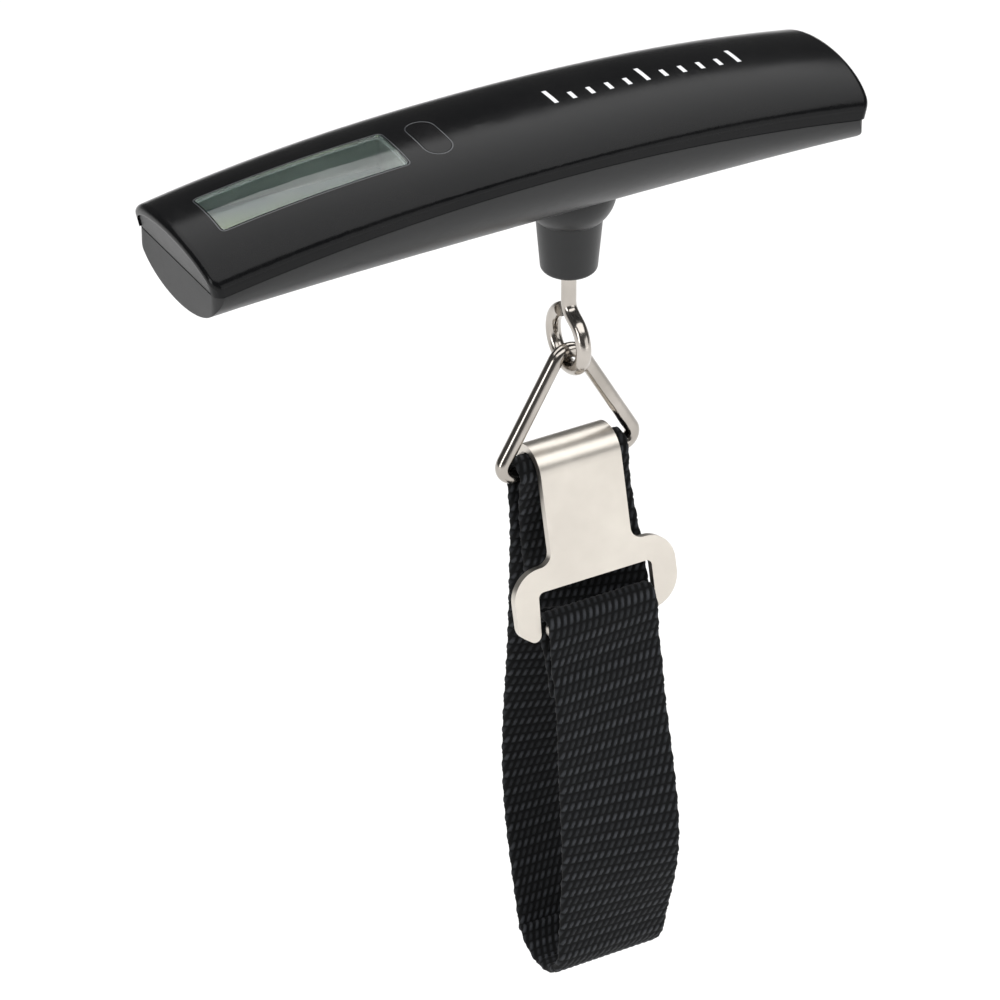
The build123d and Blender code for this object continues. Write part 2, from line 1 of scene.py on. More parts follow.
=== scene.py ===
"""Looks for the hanging luggage scale: its finishes, the woven strap, the printed ticks, and the studio.

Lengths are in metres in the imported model's own frame. MM turns millimetres into metres.
"""

import math

import bmesh
import bpy
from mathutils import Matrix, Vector
from mathutils.bvhtree import BVHTree


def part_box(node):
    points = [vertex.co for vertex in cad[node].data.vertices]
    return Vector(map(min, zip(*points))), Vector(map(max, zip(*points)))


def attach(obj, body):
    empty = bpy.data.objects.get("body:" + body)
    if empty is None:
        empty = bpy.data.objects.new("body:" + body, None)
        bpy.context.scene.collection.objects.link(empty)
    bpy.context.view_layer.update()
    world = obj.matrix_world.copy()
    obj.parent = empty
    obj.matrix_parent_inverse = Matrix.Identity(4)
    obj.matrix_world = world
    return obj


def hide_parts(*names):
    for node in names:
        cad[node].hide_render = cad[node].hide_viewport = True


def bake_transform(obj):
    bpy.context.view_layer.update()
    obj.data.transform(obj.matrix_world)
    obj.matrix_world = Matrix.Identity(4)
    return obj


MM = 0.001
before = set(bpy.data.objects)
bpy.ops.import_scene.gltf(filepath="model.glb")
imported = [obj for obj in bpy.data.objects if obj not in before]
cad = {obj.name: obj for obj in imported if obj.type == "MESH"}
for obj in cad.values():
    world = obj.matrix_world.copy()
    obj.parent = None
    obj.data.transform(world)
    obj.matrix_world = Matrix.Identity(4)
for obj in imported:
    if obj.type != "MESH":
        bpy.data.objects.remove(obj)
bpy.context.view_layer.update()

# ---------------------------------------------------------------- camera

CAMERA_AT = Vector((-481.0, -828.4, 531.4)) * MM
CAMERA_AIM = Vector((-15.1, 0.0, -74.4)) * MM
camera_data = bpy.data.cameras.new("camera")
camera_data.lens = 208.8
camera_data.sensor_width = 36.0
camera_data.clip_start, camera_data.clip_end = 0.05, 20.0
camera = bpy.data.objects.new("camera", camera_data)
camera.location = CAMERA_AT
camera.rotation_mode = "QUATERNION"
camera.rotation_quaternion = (CAMERA_AIM - CAMERA_AT).to_track_quat("-Z", "Y")
bpy.context.scene.collection.objects.link(camera)
bpy.context.scene.camera = camera
bpy.context.scene.view_settings.view_transform = "Standard"

# ---------------------------------------------------------------- shared surface effects


def new_group(name, inputs, outputs):
    """An empty shader node group with its sockets: {name: (kind, default)} in, {name: kind} out."""
    group = bpy.data.node_groups.new(name, "ShaderNodeTree")
    for label, (kind, default) in inputs.items():
        socket = group.interface.new_socket(label, in_out="INPUT", socket_type="NodeSocket" + kind)
        if default is not None:
            socket.default_value = default
    for label, kind in outputs.items():
        group.interface.new_socket(label, in_out="OUTPUT", socket_type="NodeSocket" + kind)
    return group, group.nodes.new("NodeGroupInput").outputs, group.nodes.new("NodeGroupOutput").inputs


def node(tree, kind, links=None, **settings):
    """A node with settings, and its inputs set from numbers or linked from sockets."""
    made = tree.nodes.new("ShaderNode" + kind)
    for key, value in settings.items():
        setattr(made, key, value)
    for key, value in (links or {}).items():
        if isinstance(value, bpy.types.NodeSocket):
            tree.links.new(value, made.inputs[key])
        else:
            made.inputs[key].default_value = value
    return made


def maths(tree, operation, *values):
    """The result socket of one Math node."""
    return node(tree, "Math", dict(enumerate(values)), operation=operation).outputs[0]


def blend_colours(tree, factor, first, second):
    """The result socket of a colour Mix node."""
    mixer = node(tree, "Mix", {0: factor, 6: first, 7: second}, data_type="RGBA")
    return mixer.outputs[2]


def span(tree, value, low, high, to_low, to_high):
    """A value mapped from one range to another, clamped."""
    return node(tree, "MapRange", {0: value, 1: low, 2: high, 3: to_low, 4: to_high}).outputs[0]


def make_moulding_group():
    """Grain and slow tone change of a moulded, milled or plated surface."""
    group, given, result = new_group(
        "surface_grain",
        {"Vector": ("Vector", None), "Colour": ("Color", (0.5, 0.5, 0.5, 1)),
         "Second colour": ("Color", (0.4, 0.4, 0.4, 1)), "Patch size": ("Float", 60.0),
         "Grain scale": ("Float", 2500.0), "Grain depth": ("Float", 0.1),
         "Smooth": ("Float", 0.3), "Rough": ("Float", 0.4)},
        {"Colour": "Color", "Roughness": "Float", "Normal": "Vector"})
    patches = node(group, "TexNoise", {"Vector": given["Vector"], "Scale": given["Patch size"],
                                       "Detail": 4.0, "Roughness": 0.6}).outputs[0]
    grain = node(group, "TexNoise", {"Vector": given["Vector"], "Scale": given["Grain scale"],
                                     "Detail": 3.0}).outputs[0]
    mixed = maths(group, "ADD", maths(group, "MULTIPLY", patches, 0.7), maths(group, "MULTIPLY", grain, 0.3))
    mask = span(group, mixed, 0.36, 0.64, 0.0, 1.0)
    colour = blend_colours(group, mask, given["Colour"], given["Second colour"])
    rough = node(group, "Mix", {0: mask, 2: given["Smooth"], 3: given["Rough"]}).outputs[0]
    bump = node(group, "Bump", {"Strength": given["Grain depth"], "Distance": 0.05 * MM, "Height": grain})
    group.links.new(colour, result["Colour"])
    group.links.new(rough, result["Roughness"])
    group.links.new(bump.outputs[0], result["Normal"])
    return group


def make_brushing_group():
    """Fine lines along one direction, as on a rolled, brushed or polished metal."""
    group, given, result = new_group(
        "metal_lines",
        {"Vector": ("Vector", None), "Depth": ("Float", 0.1), "Smooth": ("Float", 0.1), "Rough": ("Float", 0.3)},
        {"Roughness": "Float", "Normal": "Vector"})
    lines = node(group, "TexNoise", {"Vector": given["Vector"], "Scale": 1.0, "Detail": 5.0,
                                     "Roughness": 0.7}).outputs[0]
    rough = span(group, lines, 0.3, 0.7, 0.0, 1.0)
    rough = node(group, "Mix", {0: rough, 2: given["Smooth"], 3: given["Rough"]}).outputs[0]
    bump = node(group, "Bump", {"Strength": given["Depth"], "Distance": 0.03 * MM, "Height": lines})
    group.links.new(rough, result["Roughness"])
    group.links.new(bump.outputs[0], result["Normal"])
    return group


moulding_group = make_moulding_group()
brushing_group = make_brushing_group()


def shader(name, **constants):
    """A new material with a Principled BSDF, its constant sockets set. Returns (material, tree, shader)."""
    material = bpy.data.materials.new(name)
    material.use_nodes = True
    tree = material.node_tree
    principled = tree.nodes["Principled BSDF"]
    for key, value in constants.items():
        principled.inputs[key.replace("_", " ").title().replace("Ior", "IOR")].default_value = value
    return material, tree, principled


def grained(name, colour, second, smooth, rough, patch=60.0, grain=2500.0, depth=0.1, **constants):
    """A moulded or coated finish."""
    material, tree, principled = shader(name, **constants)
    place = node(tree, "TexCoord").outputs["Object"]
    surface = node(tree, "Group", node_tree=moulding_group)
    tree.links.new(place, surface.inputs["Vector"])
    for key, value in (("Colour", (*colour, 1)), ("Second colour", (*second, 1)), ("Patch size", patch),
                       ("Grain scale", grain), ("Grain depth", depth), ("Smooth", smooth), ("Rough", rough)):
        surface.inputs[key].default_value = value
    tree.links.new(surface.outputs["Colour"], principled.inputs["Base Color"])
    tree.links.new(surface.outputs["Roughness"], principled.inputs["Roughness"])
    tree.links.new(surface.outputs["Normal"], principled.inputs["Normal"])
    return material


def lined_metal(name, colour, second, stretch, smooth, rough, depth=0.1, **constants):
    """A metal with fine lines; stretch is the lines' scale along X, Y and Z."""
    material, tree, principled = shader(name, metallic=1.0, **constants)
    place = node(tree, "TexCoord").outputs["Object"]
    along = node(tree, "Mapping", {"Vector": place, "Scale": stretch}).outputs[0]
    lines = node(tree, "Group", node_tree=brushing_group)
    tree.links.new(along, lines.inputs["Vector"])
    for key, value in (("Depth", depth), ("Smooth", smooth), ("Rough", rough)):
        lines.inputs[key].default_value = value
    clouds = node(tree, "TexNoise", {"Vector": place, "Scale": 90.0, "Detail": 3.0}).outputs[0]
    tone = blend_colours(tree, span(tree, clouds, 0.35, 0.65, 0.0, 1.0), (*colour, 1), (*second, 1))
    tree.links.new(tone, principled.inputs["Base Color"])
    tree.links.new(lines.outputs["Roughness"], principled.inputs["Roughness"])
    tree.links.new(lines.outputs["Normal"], principled.inputs["Normal"])
    return material


# ---------------------------------------------------------------- finishes of the solid parts

gloss_cover = grained("gloss_black_cover", (0.0035, 0.0037, 0.0042), (0.0055, 0.0056, 0.006), 0.15, 0.22,
                      patch=45.0, grain=900.0, depth=0.015, specular_ior_level=0.17)
satin_shell = grained("satin_grey_shell", (0.011, 0.0115, 0.012), (0.015, 0.0155, 0.016), 0.34, 0.44,
                      patch=50.0, grain=5200.0, depth=0.22, specular_ior_level=0.38)
button_gloss = grained("gloss_black_button", (0.0025, 0.0025, 0.003), (0.004, 0.004, 0.0045), 0.18, 0.26,
                       patch=120.0, grain=1500.0, depth=0.03, specular_ior_level=0.2)
pale_frame = grained("pale_display_frame", (0.30, 0.36, 0.34), (0.24, 0.29, 0.28), 0.30, 0.42,
                     grain=4000.0, depth=0.1)
film = grained("reflector_film", (0.42, 0.48, 0.42), (0.38, 0.44, 0.38), 0.3, 0.4)
zebra = grained("zebra_rubber", (0.05, 0.05, 0.05), (0.20, 0.17, 0.15), 0.6, 0.8, grain=6000.0, depth=0.3)
board = grained("board_green", (0.015, 0.10, 0.04), (0.02, 0.13, 0.055), 0.25, 0.4, grain=3000.0, depth=0.1)
epoxy = grained("chip_epoxy", (0.018, 0.018, 0.018), (0.03, 0.03, 0.03), 0.5, 0.65, grain=7000.0, depth=0.2)
ceramic = grained("component_ceramic", (0.40, 0.30, 0.18), (0.30, 0.22, 0.13), 0.4, 0.55)
silicone = grained("gauge_silicone", (0.72, 0.72, 0.69), (0.64, 0.64, 0.60), 0.35, 0.5, depth=0.25)
nylon = grained("bush_nylon", (0.62, 0.59, 0.50), (0.55, 0.52, 0.44), 0.4, 0.5)
red_sleeve = grained("lead_red", (0.42, 0.02, 0.02), (0.33, 0.015, 0.015), 0.35, 0.5)
white_sleeve = grained("lead_white", (0.68, 0.68, 0.66), (0.60, 0.60, 0.58), 0.35, 0.5)

polished_wire = lined_metal("polished_wire", (0.50, 0.465, 0.425), (0.40, 0.37, 0.335), (2400, 2400, 260),
                            0.10, 0.20, depth=0.12)
nickel_plate = lined_metal("satin_nickel_plate", (0.66, 0.62, 0.56), (0.61, 0.57, 0.515), (420, 900, 900),
                           0.30, 0.38, depth=0.10)
milled = lined_metal("milled_aluminium", (0.72, 0.72, 0.73), (0.66, 0.66, 0.68), (120, 2600, 2600), 0.25, 0.4)
zinc = lined_metal("zinc_plating", (0.52, 0.53, 0.55), (0.45, 0.46, 0.50), (900, 900, 900), 0.22, 0.38)
nickel_strip = lined_metal("contact_nickel", (0.62, 0.58, 0.50), (0.55, 0.52, 0.45), (200, 2600, 2600), 0.2, 0.3)
coin_steel = lined_metal("coin_cell_steel", (0.64, 0.64, 0.64), (0.58, 0.58, 0.58), (1800, 300, 1800), 0.2, 0.3)

# The clear window: a slightly smoked acrylic with fine scuffs on its surface.
clear_window, window_tree, window_shader = shader("clear_window", ior=1.49, transmission_weight=1.0,
                                                     specular_ior_level=0.3)
window_place = node(window_tree, "TexCoord").outputs["Object"]
scuffs = node(window_tree, "TexNoise", {"Vector": window_place, "Scale": 140.0, "Detail": 6.0}).outputs[0]
window_tree.links.new(span(window_tree, scuffs, 0.4, 0.7, 0.02, 0.09), window_shader.inputs["Roughness"])
window_shader.inputs["Base Color"].default_value = (0.90, 0.95, 0.92, 1)

# The blank display: grey-green at its near side and darker, with soft clouds, towards its far side; the darkening
# towards the far side is painted shade.
display, display_tree, display_shader = shader("blank_display", specular_ior_level=0.12)
display_place = node(display_tree, "TexCoord").outputs["Object"]
display_xyz = node(display_tree, "SeparateXYZ", {0: display_place}).outputs
lcd_low, lcd_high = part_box("lcd_glass")
across = span(display_tree, display_xyz[1], lcd_low[1], lcd_high[1], 0.0, 1.0)
clouds = node(display_tree, "TexNoise", {"Vector": display_place, "Scale": 110.0, "Detail": 4.0}).outputs[0]
far_shade_and_clouds = maths(display_tree, "ADD", across, maths(display_tree, "MULTIPLY", clouds, 0.7))
# Base colour runs from the lighter near side to painted shade at the far side, broken by soft clouds.
tone = blend_colours(display_tree, span(display_tree, far_shade_and_clouds, 0.25, 1.25, 0.0, 1.0),
                     (0.20, 0.24, 0.115, 1), (0.045, 0.075, 0.078, 1))
display_tree.links.new(tone, display_shader.inputs["Base Color"])
display_tree.links.new(span(display_tree, clouds, 0.3, 0.7, 0.16, 0.28), display_shader.inputs["Roughness"])

FINISHES = {
    "upper_cover": gloss_cover, "lower_shell": satin_shell, "battery_drawer": satin_shell,
    "power_button": button_gloss, "window_lens": clear_window, "display_frame": pale_frame,
    "lcd_glass": display, "lcd_reflector": film, "zebra_strips": zebra, "circuit_board": board,
    "controller_chip": epoxy, "tact_switch": epoxy, "board_components": ceramic, "crystal": zinc,
    "load_cell": milled, "strain_gauges": silicone, "load_cell_screws": zinc, "case_screws": zinc,
    "stem_washer": zinc, "stem_nut": zinc, "boss_bush": nylon, "gauge_leads": white_sleeve,
    "battery_leads": red_sleeve, "coin_cell": coin_steel, "battery_contact_pos": nickel_strip,
    "battery_contact_neg": nickel_strip, "wire_eye": polished_wire, "triangle_ring": polished_wire,
    "hook_plate": nickel_plate,
}
for label, material in FINISHES.items():
    cad[label].data.materials.clear()
    cad[label].data.materials.append(material)

edge_rounding = cad["hook_plate"].modifiers.new("edge_rounding", "BEVEL")
edge_rounding.width, edge_rounding.segments = 0.28 * MM, 3
edge_rounding.limit_method, edge_rounding.angle_limit = "ANGLE", math.radians(50)
edge_rounding.harden_normals = True

# ---------------------------------------------------------------- webbing strap

RING_LOW, RING_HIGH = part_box("triangle_ring")
WIRE_R = (RING_HIGH[1] - RING_LOW[1]) / 2
BAR_Z = RING_LOW[2] + WIRE_R
WEB_LOW, WEB_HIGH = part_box("strap")
HALF_WIDE, HALF_THICK = (WEB_HIGH[0] - WEB_LOW[0]) / 2, 0.95 * MM
PLATE_LEAN_DEGREES = 14.4
PLATE_LEAN = math.radians(PLATE_LEAN_DEGREES)
PLATE_OUT = 4.8 * MM
FOLD_Y, FOLD_Z, FOLD_R = -10.5 * MM, -172.4 * MM, 8.6 * MM
FOLD_START, FOLD_END = -20, -183
WRAP_R, LOOP_R, LOOP_DOWN = 2.75 * MM, 2.05 * MM, 30.4 * MM
ROW, YARN, SLANT, YARN_HIGH = 2.05 * MM, 1.44 * MM, -0.55, 0.26 * MM
NARROW, SHORT = 9.5, 4.6      # how quickly a yarn's crown falls off across it and along it
YARN_LEVEL = 0.45             # the yarn height that lies level with the plain section
FLATNESS = 0.86               # the section's thickness as a share of the webbing's full thickness
EDGE_LIFT = 0.8               # how much of a yarn's height pushes the selvedges sideways
BACK_TURN, BACK_LOW, BACK_PEAK, BACK_SHARE = math.radians(24.0), -172 * MM, 0.8, 0.9
FRONT_TURN, FRONT_TOP, FRONT_LOW = math.radians(13.0), -112 * MM, -181 * MM
FRONT_FORWARD = 1.3 * MM
TAIL_LONG, TAIL_ASIDE = 31 * MM, 2.2 * MM
STEP_ALONG, STEP_ACROSS = 0.42 * MM, 0.38 * MM


def eased(z, top, bottom, power):
    """Rises from 0 at one height to 1 and back to 0 at a lower one; a power under 1 puts the peak higher up."""
    share = min(max((top - z) / (top - bottom), 0.0), 1.0)
    return math.sin(math.pi * share ** power) ** 2


def back_sway(z):
    """How the back strand turns, in radians, and how far its middle comes forward, at a height."""
    yaw = BACK_TURN * eased(z, BAR_Z, BACK_LOW, BACK_PEAK)
    return yaw, BACK_SHARE * HALF_WIDE * math.sin(yaw)


def front_sway(z):
    """The same for the front strand, round its widest part."""
    swell = eased(z, FRONT_TOP, FRONT_LOW, 1.0)
    return FRONT_TURN * swell, FRONT_FORWARD * swell


def on_plate(out, down):
    """A side-view point (y, z) beside the hook plate: out from the bar towards the user, and down along it."""
    return (-out * math.cos(PLATE_LEAN) - down * math.sin(PLATE_LEAN),
            BAR_Z + out * math.sin(PLATE_LEAN) - down * math.cos(PLATE_LEAN))


def arc(y, z, radius, start, stop, steps=8):
    """Side-view points round an arc, in degrees."""
    turns = [math.radians(start + (stop - start) * i / steps) for i in range(steps + 1)]
    return [(y + radius * math.cos(t), z + radius * math.sin(t)) for t in turns]


def smooth_path(points, spacing):
    """Side-view points evenly spaced along a smooth curve through the given ones."""
    padded = [points[0], *points, points[-1]]
    dense = []
    for a, b, c, d in zip(padded, padded[1:], padded[2:], padded[3:]):
        for i in range(24):
            t = i / 24
            dense.append(tuple(0.5 * (2 * b[k] + (c[k] - a[k]) * t + (2 * a[k] - 5 * b[k] + 4 * c[k] - d[k]) * t * t
                                      + (3 * b[k] - a[k] - 3 * c[k] + d[k]) * t ** 3) for k in (0, 1)))
    dense.append(points[-1])
    travelled = [0.0]
    for a, b in zip(dense, dense[1:]):
        travelled.append(travelled[-1] + math.dist(a, b))
    count = max(2, round(travelled[-1] / spacing))
    even, here = [], 0
    for i in range(count + 1):
        want = travelled[-1] * i / count
        while here < len(travelled) - 2 and travelled[here + 1] < want:
            here += 1
        share = (want - travelled[here]) / max(travelled[here + 1] - travelled[here], 1e-12)
        even.append((tuple(dense[here][k] + (dense[here + 1][k] - dense[here][k]) * share for k in (0, 1)), want))
    return even


def yarn_height(across, along):
    """How proud a yarn of the weave stands, 0 to 1: slanted yarns in rows, every other row shifted half a yarn."""
    row = math.floor(along / ROW)
    in_row = along / ROW - row - 0.5
    cell = across / YARN + 0.5 * (row % 2) + SLANT * in_row
    in_cell = cell - math.floor(cell) - 0.5
    return math.sqrt(max(0.0, 1 - NARROW * in_cell ** 2) * max(0.0, 1 - SHORT * in_row ** 2))


def cross_section():
    """Round the webbing's section as (across, out, outward direction): both faces and two rounded selvedges."""
    flat = HALF_WIDE - HALF_THICK
    count = round(2 * flat / STEP_ACROSS)
    loop = []
    for side in (1, -1):
        for i in range(count + 1):
            loop.append((side * (-flat + 2 * flat * i / count), side * HALF_THICK * FLATNESS, (0.0, float(side))))
        for degrees in (66, 33, 0, -33, -66):
            turn = math.radians(degrees) if side > 0 else math.radians(degrees + 180)
            loop.append((side * flat + HALF_THICK * math.cos(turn), HALF_THICK * FLATNESS * math.sin(turn),
                         (math.cos(turn), math.sin(turn))))
    return loop


def extruded_on(mesh, edges):
    """Extrudes a closed loop of edges. Returns the new loop's edges and vertices, still on the old ones."""
    made = bmesh.ops.extrude_edge_only(mesh, edges=edges)["geom"]
    return ([part for part in made if isinstance(part, bmesh.types.BMEdge)],
            [part for part in made if isinstance(part, bmesh.types.BMVert)])


def closed_loop(mesh, place, spots):
    """A closed loop of edges through some spots, each vertex knowing its place in the loop."""
    verts = [mesh.verts.new(spot) for spot in spots]
    for number, vert in enumerate(verts):
        vert[place] = number
    return [mesh.edges.new(pair) for pair in zip(verts, verts[1:] + verts[:1])], verts


def as_piece(mesh, name):
    """Finishes a bmesh as a smooth-shaded object in the scene."""
    bmesh.ops.recalc_face_normals(mesh, faces=mesh.faces)
    for face in mesh.faces:
        face.smooth = True
    data = bpy.data.meshes.new(name)
    mesh.to_mesh(data)
    mesh.free()
    piece = bpy.data.objects.new(name, data)
    bpy.context.scene.collection.objects.link(piece)
    return piece


def weave_band(name, points, start_along, sway, slip=0.0):
    """A length of webbing along side-view points, with its yarns standing out of both faces.

    sway gives the turn and the forward shift of the section at a height. slip is how far the free tail at
    the start stands aside at its end. Returns the piece and how far along the strap it ends.
    """
    path = smooth_path(points, STEP_ALONG)
    section = cross_section()
    mesh = bmesh.new()
    place = mesh.verts.layers.int.new("place")
    along = mesh.verts.layers.float.new("along")
    weave = mesh.loops.layers.uv.new("weave")
    edges, verts = closed_loop(mesh, place, [(across, 0, out) for across, out, _ in section])
    for i, ((y, z), travelled) in enumerate(path):
        if i:
            edges, verts = extruded_on(mesh, edges)
        (y0, z0), (y1, z1) = path[max(i - 1, 0)][0], path[min(i + 1, len(path) - 1)][0]
        heading = Vector((y1 - y0, z1 - z0)).normalized()
        yaw, forward = sway(z)
        aside = slip * max(0.0, 1 - travelled / TAIL_LONG)
        for vert in verts:
            across, out, (side, face) = section[vert[place]]
            mirrored = across if out >= 0 else -across
            lift = YARN_HIGH * (yarn_height(mirrored, start_along + travelled) - YARN_LEVEL)
            offset = out + lift * face * (0.5 + 0.5 * abs(face))
            beside = across + aside + lift * side * EDGE_LIFT
            vert.co = (beside * math.cos(yaw), y - forward - heading[1] * offset - beside * math.sin(yaw),
                       z + heading[0] * offset)
            vert[along] = start_along + travelled
    for face in mesh.faces:
        mirror = 1 if sum(section[corner.vert[place]][1] for corner in face.loops) >= 0 else -1
        for corner in face.loops:
            corner[weave].uv = (mirror * section[corner.vert[place]][0], corner.vert[along])
    bmesh.ops.holes_fill(mesh, edges=[edge for edge in mesh.edges if edge.is_boundary])
    return as_piece(mesh, name), start_along + path[-1][1]


back_points = ([(-0.75 * MM, BAR_Z - TAIL_LONG), (-1.0 * MM, BAR_Z - 20 * MM), (-1.05 * MM, BAR_Z - 14 * MM),
                (-1.5 * MM, BAR_Z - 7 * MM)]
               + arc(0, BAR_Z, WRAP_R, 180, 0)
               + [(1.5 * MM, BAR_Z - 8 * MM), (1.25 * MM, BAR_Z - 15 * MM), (1.9 * MM, BAR_Z - 23 * MM),
                  (3.4 * MM, BAR_Z - 40 * MM), (4.7 * MM, BAR_Z - 62 * MM), (3.2 * MM, BAR_Z - 82 * MM)]
               + arc(FOLD_Y, FOLD_Z, FOLD_R, FOLD_START, -90))
PLATE_FRONT, PLATE_REAR = PLATE_OUT + LOOP_R, PLATE_OUT - LOOP_R
front_points = (arc(FOLD_Y, FOLD_Z, FOLD_R, -90, FOLD_END)
                + [(-20.6 * MM, -158 * MM), (-20.9 * MM, -148 * MM), (-19.6 * MM, -134 * MM),
                   on_plate(PLATE_OUT + 1.0 * MM, 46.0 * MM), on_plate(PLATE_OUT + 1.05 * MM, 39.3 * MM),
                   on_plate(PLATE_FRONT, 33.0 * MM)]
                + arc(*on_plate(PLATE_OUT, LOOP_DOWN), LOOP_R, 180 - PLATE_LEAN_DEGREES, -PLATE_LEAN_DEGREES)
                + [on_plate(PLATE_REAR, 33.0 * MM), on_plate(PLATE_OUT - 1.05 * MM, 39.3 * MM),
                   on_plate(PLATE_OUT - 1.0 * MM, 45.6 * MM)])
back_strand, fold_at = weave_band("webbing_back_strand", back_points, 0.0, back_sway, TAIL_ASIDE)
front_strand, _ = weave_band("webbing_front_strand", front_points, fold_at, front_sway)

# Black polypropylene webbing: painted shade darkens the yarns' sides and the gaps between them against their
# lighter crowns.
webbing, web_tree, web_shader = shader("black_webbing", specular_ior_level=0.25, sheen_weight=0.05,
                                      sheen_roughness=0.4, ior=1.48)
web_uv = node(web_tree, "UVMap", uv_map="weave").outputs[0]
uv_parts = node(web_tree, "SeparateXYZ", {0: web_uv}).outputs
rows = maths(web_tree, "DIVIDE", uv_parts[1], ROW)
row_number = maths(web_tree, "FLOOR", rows)
in_row = maths(web_tree, "SUBTRACT", maths(web_tree, "SUBTRACT", rows, row_number), 0.5)
shifted = maths(web_tree, "MULTIPLY", maths(web_tree, "MODULO", row_number, 2.0), 0.5)
cells = maths(web_tree, "ADD", maths(web_tree, "DIVIDE", uv_parts[0], YARN), shifted)
cells = maths(web_tree, "ADD", cells, maths(web_tree, "MULTIPLY", in_row, SLANT))
cell_number = maths(web_tree, "FLOOR", cells)
in_cell = maths(web_tree, "SUBTRACT", maths(web_tree, "SUBTRACT", cells, cell_number), 0.5)
roundness = maths(web_tree, "MULTIPLY",
                  maths(web_tree, "MAXIMUM", maths(web_tree, "SUBTRACT", 1.0, maths(
                      web_tree, "MULTIPLY", maths(web_tree, "MULTIPLY", in_cell, in_cell), NARROW)), 0.0),
                  maths(web_tree, "MAXIMUM", maths(web_tree, "SUBTRACT", 1.0, maths(
                      web_tree, "MULTIPLY", maths(web_tree, "MULTIPLY", in_row, in_row), SHORT)), 0.0))
yarn_id = node(web_tree, "CombineXYZ", {0: cell_number, 1: row_number}).outputs[0]
yarn_tone = node(web_tree, "TexWhiteNoise", {"Vector": yarn_id}).outputs[0]
fibre_place = node(web_tree, "CombineXYZ", {0: maths(web_tree, "MULTIPLY", in_cell, 9.0),
                                            1: maths(web_tree, "MULTIPLY", in_row, 1.2), 2: yarn_tone}).outputs[0]
fibres = node(web_tree, "TexNoise", {"Vector": fibre_place, "Scale": 2.2, "Detail": 3.0}).outputs[0]
crown = maths(web_tree, "MULTIPLY", roundness, span(web_tree, fibres, 0.3, 0.7, 0.6, 1.0))
crown = maths(web_tree, "MULTIPLY", crown, span(web_tree, yarn_tone, 0.0, 1.0, 0.75, 1.0))
dim_rows = span(web_tree, maths(web_tree, "MODULO", row_number, 2.0), 0.0, 1.0, 0.5, 1.0)
crown = maths(web_tree, "MULTIPLY", crown, dim_rows)
# The gaps and the yarns' sides get painted shade, the crowns the lighter yarn colour, with a random tone per yarn.
web_tone_with_painted_shade = blend_colours(web_tree, crown, (0.0022, 0.0025, 0.0028, 1), (0.052, 0.056, 0.064, 1))
web_tree.links.new(web_tone_with_painted_shade, web_shader.inputs["Base Color"])
web_tree.links.new(span(web_tree, crown, 0.0, 1.0, 0.95, 0.5), web_shader.inputs["Roughness"])
relief = maths(web_tree, "ADD", roundness, maths(web_tree, "MULTIPLY", fibres, 0.45))
web_bump = node(web_tree, "Bump", {"Strength": 0.7, "Distance": 0.16 * MM, "Height": relief})
web_tree.links.new(web_bump.outputs[0], web_shader.inputs["Normal"])

for piece in (back_strand, front_strand):
    piece.data.materials.append(webbing)
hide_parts("strap")
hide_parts("strap_end_loop")
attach(back_strand, "strap")
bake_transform(front_strand)

# ---------------------------------------------------------------- printed ticks on the cover

cover_mesh = bmesh.new()
cover_mesh.from_mesh(cad["upper_cover"].data)
cover_tree = BVHTree.FromBMesh(cover_mesh)
cover_mesh.free()


def rounded_outline(centre, half, corner, reach):
    """Points (x, y) round a rounded rectangle, at a reach from its corners' centres."""
    spots = []
    for quarter, (sx, sy) in enumerate(((1, 1), (-1, 1), (-1, -1), (1, -1))):
        for step in range(7):
            angle = math.radians(90 * quarter + 15 * step)
            spots.append((centre[0] + sx * (half[0] - corner) + reach * math.cos(angle),
                          centre[1] + sy * (half[1] - corner) + reach * math.sin(angle)))
    return spots


def divided(spots, other, spacing):
    """The spots with more between them, as many as another outline's gaps need at a spacing."""
    full = []
    for a, b, c, d in zip(spots, spots[1:] + spots[:1], other, other[1:] + other[:1]):
        parts = max(1, round(math.dist(c, d) / spacing))
        full += [tuple(a[k] + (b[k] - a[k]) * i / parts for k in (0, 1)) for i in range(parts)]
    return full


def on_cover(x, y):
    """The spot of the cover's top straight below a point."""
    return cover_tree.ray_cast(Vector((x, y, 0.1)), Vector((0, 0, -1)))[0]


def outline_ring(name, centre, half, corner, material):
    """A thin raised line round a rounded rectangle, laid on the cover: paler than the cover, a painted highlight
    along the edge of an opening.
    """
    inner = rounded_outline(centre, half, corner, corner + EDGE_CLEAR)
    outer = rounded_outline(centre, half, corner, corner + EDGE_CLEAR + EDGE_WIDE)
    inside = [on_cover(*spot) for spot in divided(inner, inner, 1.0 * MM)]
    outside = [on_cover(*spot) for spot in divided(outer, inner, 1.0 * MM)]
    ridge = [(a + b) / 2 + Vector((0, 0, EDGE_HIGH)) for a, b in zip(inside, outside)]
    mesh = bmesh.new()
    place = mesh.verts.layers.int.new("place")
    edges, _ = closed_loop(mesh, place, inside)
    for spots in (ridge, outside):
        edges, verts = extruded_on(mesh, edges)
        for vert in verts:
            vert.co = spots[vert[place]]
    ring = as_piece(mesh, name)
    ring.data.materials.append(material)
    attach(ring, "housing")


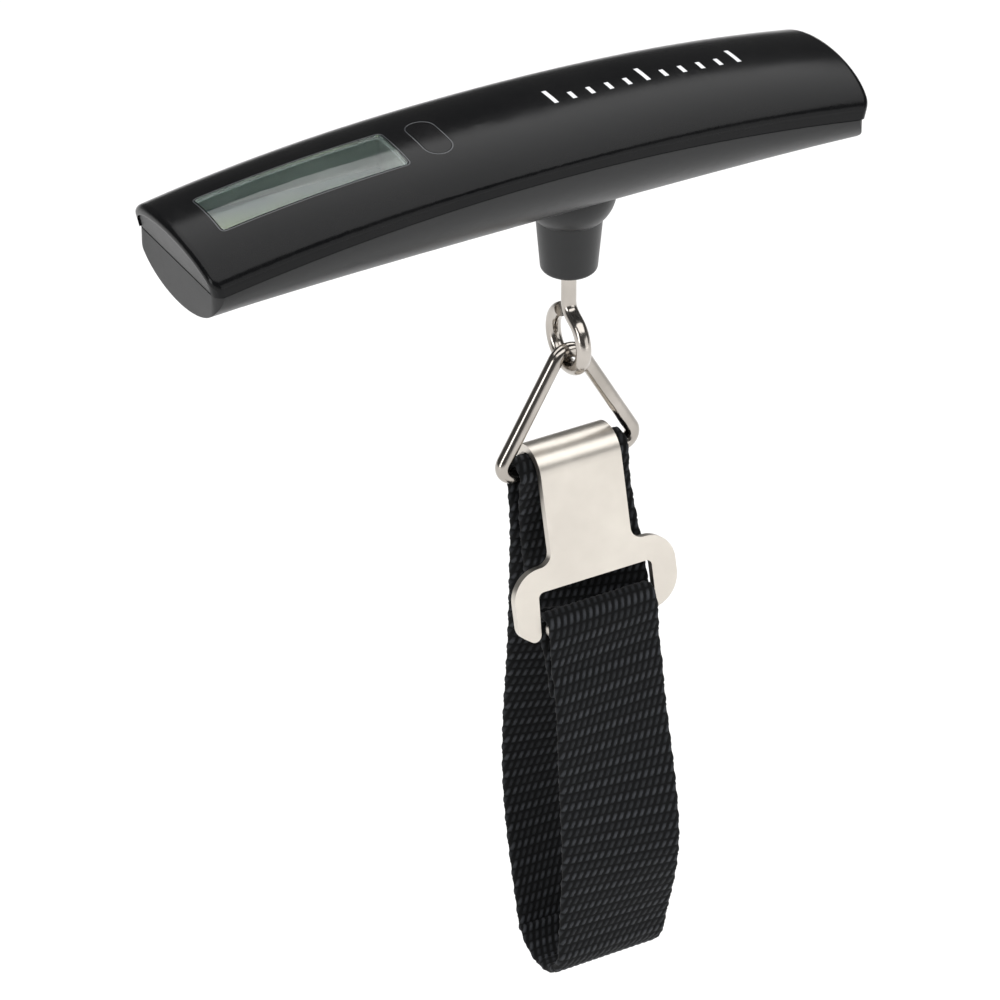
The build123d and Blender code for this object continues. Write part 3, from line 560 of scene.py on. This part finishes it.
EDGE_CLEAR, EDGE_WIDE, EDGE_HIGH = 0.04 * MM, 0.28 * MM, 0.07 * MM
WINDOW_GAP, WINDOW_CORNER = 0.16 * MM, 0.8 * MM
BUTTON_MIDDLE, BUTTON_HALF = (-31.0 * MM, -1.4 * MM), (2.7 * MM, 6.0 * MM)
# A pale grey gloss, far lighter than the cover: a painted highlight on the openings' edges.
edge_highlight_paint = grained("painted_edge_highlight", (0.045, 0.048, 0.052), (0.035, 0.037, 0.040), 0.12, 0.2, patch=120.0)
window_low, window_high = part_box("window_lens")
WINDOW_MIDDLE = ((window_high[0] + window_low[0]) / 2, (window_high[1] + window_low[1]) / 2)
WINDOW_HALF = ((window_high[0] - window_low[0]) / 2 + WINDOW_GAP,
               (window_high[1] - window_low[1]) / 2 + WINDOW_GAP)
outline_ring("window_edge_outline", WINDOW_MIDDLE, WINDOW_HALF, WINDOW_CORNER, edge_highlight_paint)
outline_ring("button_outline", BUTTON_MIDDLE, BUTTON_HALF, BUTTON_HALF[0], edge_highlight_paint)

TICK_X0, TICK_STEP, TICK_COUNT, TICK_Y = -4.0 * MM, 4.0 * MM, 11, -2.0 * MM
TICK_WIDE, TICK_SHORT, TICK_TALL, INK_PROUD = 0.9 * MM, 2.6 * MM, 5.2 * MM, 0.03 * MM

ink = grained("white_ink", (0.80, 0.81, 0.82), (0.70, 0.71, 0.73), 0.35, 0.5, patch=300.0, grain=3000.0)
ticks = bmesh.new()
for i in range(TICK_COUNT):
    tall = TICK_TALL if i % 5 == 0 else TICK_SHORT
    made = bmesh.ops.create_grid(ticks, x_segments=2, y_segments=8, size=0.5)["verts"]
    bmesh.ops.scale(ticks, verts=made, vec=(TICK_WIDE, tall, 1))
    bmesh.ops.translate(ticks, verts=made, vec=(TICK_X0 + i * TICK_STEP, TICK_Y + tall / 2, 0.1))
for vert in ticks.verts:
    vert.co = on_cover(vert.co.x, vert.co.y) + Vector((0, 0, INK_PROUD))
printed_ticks = as_piece(ticks, "printed_ticks")
printed_ticks.data.materials.append(ink)
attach(printed_ticks, "housing")

# ---------------------------------------------------------------- studio

FLOOR_Z = -0.34
floor_mesh = bmesh.new()
bmesh.ops.create_grid(floor_mesh, x_segments=1, y_segments=1, size=12.0)
bmesh.ops.translate(floor_mesh, verts=floor_mesh.verts, vec=(0, 0, FLOOR_Z))
floor = as_piece(floor_mesh, "floor")
floor.data.materials.append(grained("pale_floor", (0.95, 0.95, 0.95), (0.94, 0.94, 0.94), 0.8, 0.9, patch=2.0,
                                    grain=50.0, depth=0.0))

world = bpy.data.worlds.new("studio")
bpy.context.scene.world = world
world.use_nodes = True
world.node_tree.nodes["Background"].inputs[0].default_value = (1.0, 0.99, 0.98, 1)
world.node_tree.nodes["Background"].inputs[1].default_value = 0.10


def softbox(name, place, aim, wide, tall, watts):
    """A rectangular studio light at a place, facing a point."""
    data = bpy.data.lights.new(name, "AREA")
    data.shape = "RECTANGLE"
    data.size, data.size_y, data.energy = wide, tall, watts
    lamp = bpy.data.objects.new(name, data)
    lamp.location = place
    lamp.rotation_mode = "QUATERNION"
    lamp.rotation_quaternion = (Vector(aim) - Vector(place)).to_track_quat("-Z", "Y")
    bpy.context.scene.collection.objects.link(lamp)


softbox("overhead_softbox", (0.05, -0.05, 1.30), (0.05, -0.05, 0.0), 3.2, 3.2, 66.0)
softbox("front_softbox", (0.75, -1.45, 0.02), (0.0, 0, -0.10), 1.5, 0.9, 5.2)
softbox("left_softbox", (-1.5, -0.35, 0.15), (0, 0, -0.05), 0.5, 0.8, 5.0)
